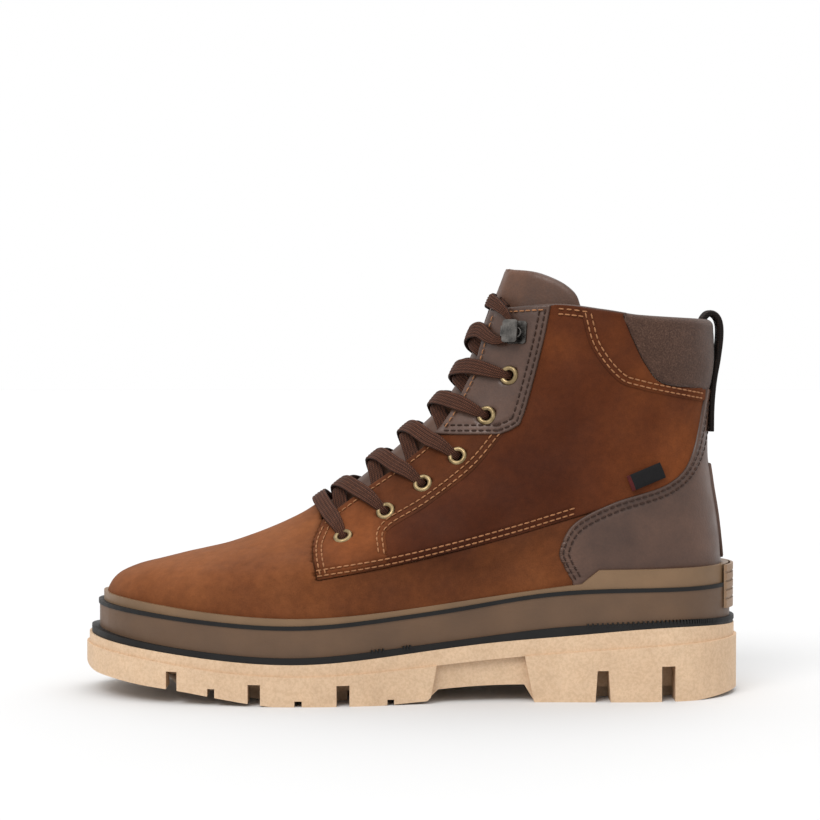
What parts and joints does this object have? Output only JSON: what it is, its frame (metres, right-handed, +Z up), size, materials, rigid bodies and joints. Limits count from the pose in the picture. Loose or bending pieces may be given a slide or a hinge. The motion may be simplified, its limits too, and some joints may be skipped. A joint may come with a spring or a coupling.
{
  "type": "insulated hunting boot",
  "caption": "Left lace-up ankle boot: layered leather upper, padded collar and tongue, insulated lining, midsole cup and lugged rubber outsole.",
  "frame": {"origin": "on the ground under the centre of the boot's bounding box", "axes": "+X from toe to heel, -Y to the outer side of the left foot, +Z up"},
  "size_m": [0.305, 0.1112, 0.1976],
  "materials": {
    "outsole": "matt, lightly speckled",
    "rand": "matt",
    "midsole": "satin",
    "rim": "satin",
    "bumper": "satin, ribbed",
    "foam": "foam",
    "shank": "plain",
    "board": "fibre board",
    "nubuck_vamp": "nubuck",
    "nubuck": "nubuck",
    "smooth_leather": "smooth, waxed",
    "cuff": "heathered wool weave",
    "insulation": "non-woven wadding",
    "lining": "brushed fleece",
    "brass": "antique",
    "hook_metal": "gunmetal",
    "lace": "flat woven",
    "aglet": "plain",
    "webbing": "woven tape",
    "label": "woven, blank"
  },
  "bodies": {
    "boot": {"outsole": "outsole", "rand_strip": "rand", "midsole_cup": "midsole", "accent_line": "rand", "midsole_rim": "rim", "heel_bumper": "bumper", "midsole_core": "foam", "shank": "shank", "insole_board": "board", "heel_counter": "board", "toe_puff": "board", "vamp": "nubuck_vamp", "quarter_lateral": "nubuck", "quarter_medial": "nubuck", "eyestay_lower_lateral": "nubuck_vamp", "eyestay_lower_medial": "nubuck_vamp", "eyestay_upper_lateral": "smooth_leather", "eyestay_upper_medial": "smooth_leather", "eyelet_facing_lateral": "smooth_leather", "eyelet_facing_medial": "smooth_leather", "heel_foxing": "smooth_leather", "back_strip": "smooth_leather", "collar_band_lateral": "nubuck", "collar_band_medial": "nubuck", "collar_cuff": "cuff", "collar_foam": "foam", "insulation": "insulation", "lining": "lining", "eyelets_lateral": "brass", "eyelets_medial": "brass", "lace_hook_lateral": "hook_metal", "lace_hook_medial": "hook_metal", "hook_rivets": "hook_metal", "lace": "lace", "lace_aglets": "aglet", "pull_loop": "webbing"},
    "tongue": {"tongue_leather": "smooth_leather", "tongue_foam": "foam", "tongue_lining": "lining"},
    "footbed": {"footbed": "foam", "footbed_cover": "lining"},
    "label": {"side_label": "label"}
  },
  "joints": [
    {"name": "tongue_swing", "type": "hinge", "parent": "boot", "child": "tongue", "pos_m": [-0.04107, 0.00163, 0.0735], "axis": [0, 1, 0], "range_deg": [0, 9]},
    {"name": "footbed_lift", "type": "hinge", "parent": "boot", "child": "footbed", "pos_m": [-0.1373, 0.00163, 0.045], "axis": [0, -1, 0], "range_deg": [0, 4]},
    {"name": "label_flap", "type": "hinge", "parent": "boot", "child": "label", "pos_m": [0.10829, -0.03264, 0.09804], "axis": [0.9058, 0.2285, 0.3568], "range_deg": [0, 80]}
  ]
}
